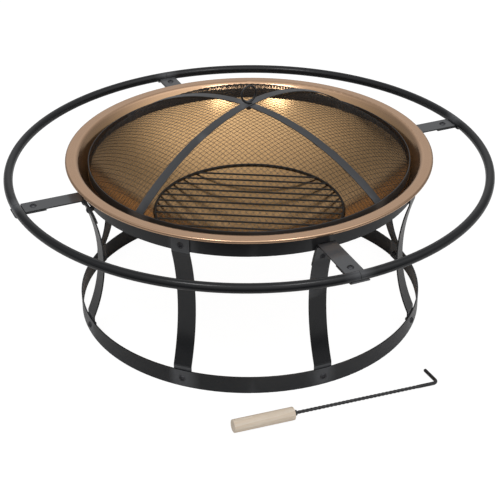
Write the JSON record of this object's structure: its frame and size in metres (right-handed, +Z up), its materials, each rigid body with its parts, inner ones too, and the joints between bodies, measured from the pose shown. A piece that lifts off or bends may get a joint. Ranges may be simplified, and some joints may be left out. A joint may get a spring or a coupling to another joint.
{
  "type": "fire pit",
  "caption": "Round garden fire pit: flat-bar stand with a tube ring round it, copper bowl, wire grate, domed mesh spark lid and hooked poker.",
  "frame": {"origin": "on the ground, under the centre of the bowl", "axes": "+X to the right and +Y to the back, seen from the poker's side; +Z up"},
  "size_m": [1.016, 1.016, 0.5004],
  "materials": {
    "black_steel": "satin black powder coat",
    "hardware": "black zinc plating",
    "copper": "spun copper, satin",
    "grate_steel": "matt black heatproof coat",
    "lid_steel": "satin black heatproof coat",
    "mesh_wire": "woven wire, black coat",
    "handle_wood": "bare pale hardwood",
    "poker_steel": "satin black"
  },
  "bodies": {
    "stand": {"base_ring": "black_steel", "support_ring": "black_steel", "leg_1": "black_steel", "leg_2": "black_steel", "leg_3": "black_steel", "leg_4": "black_steel", "leg_5": "black_steel", "leg_6": "black_steel", "leg_7": "black_steel", "leg_8": "black_steel", "arm_1": "black_steel", "arm_2": "black_steel", "arm_3": "black_steel", "arm_4": "black_steel", "ring_saddle_1": "black_steel", "ring_saddle_2": "black_steel", "ring_saddle_3": "black_steel", "ring_saddle_4": "black_steel", "ring_tube_1": "black_steel", "ring_tube_2": "black_steel", "ring_tube_3": "black_steel", "ring_tube_4": "black_steel", "ring_sleeves": "black_steel", "leg_bottom_bolts": "hardware", "leg_bottom_nuts": "hardware", "leg_top_bolts": "hardware", "leg_top_nuts": "hardware", "arm_top_bolts": "hardware", "arm_top_nuts": "hardware", "arm_tab_bolts": "hardware", "arm_tab_nuts": "hardware", "ring_bolts": "hardware", "ring_nuts": "hardware"},
    "bowl": {"bowl": "copper"},
    "grate": {"grate_hoop": "grate_steel", "grate_rods": "grate_steel"},
    "lid": {"screen_mesh": "mesh_wire", "lid_rim": "lid_steel", "lid_strap_lower": "lid_steel", "lid_strap_upper": "lid_steel", "lid_rivets": "hardware", "lid_washer": "hardware", "lid_nut": "hardware", "lifting_eye": "lid_steel"},
    "poker": {"poker_handle": "handle_wood", "poker_rod": "poker_steel", "poker_collar": "poker_steel"}
  },
  "joints": [
    {"name": "bowl_lift", "type": "slide", "parent": "stand", "child": "bowl", "axis": [0, 0, 1], "range_m": [0, 0.3]},
    {"name": "grate_lift", "type": "slide", "parent": "bowl", "child": "grate", "axis": [0, 0, 1], "range_m": [0, 0.15]},
    {"name": "lid_lift", "type": "slide", "parent": "bowl", "child": "lid", "axis": [0, 0, 1], "range_m": [0, 0.3]},
    {"name": "poker_lift", "type": "slide", "parent": "stand", "child": "poker", "axis": [0, -0.8, 0.6], "range_m": [0, 0.3]}
  ]
}
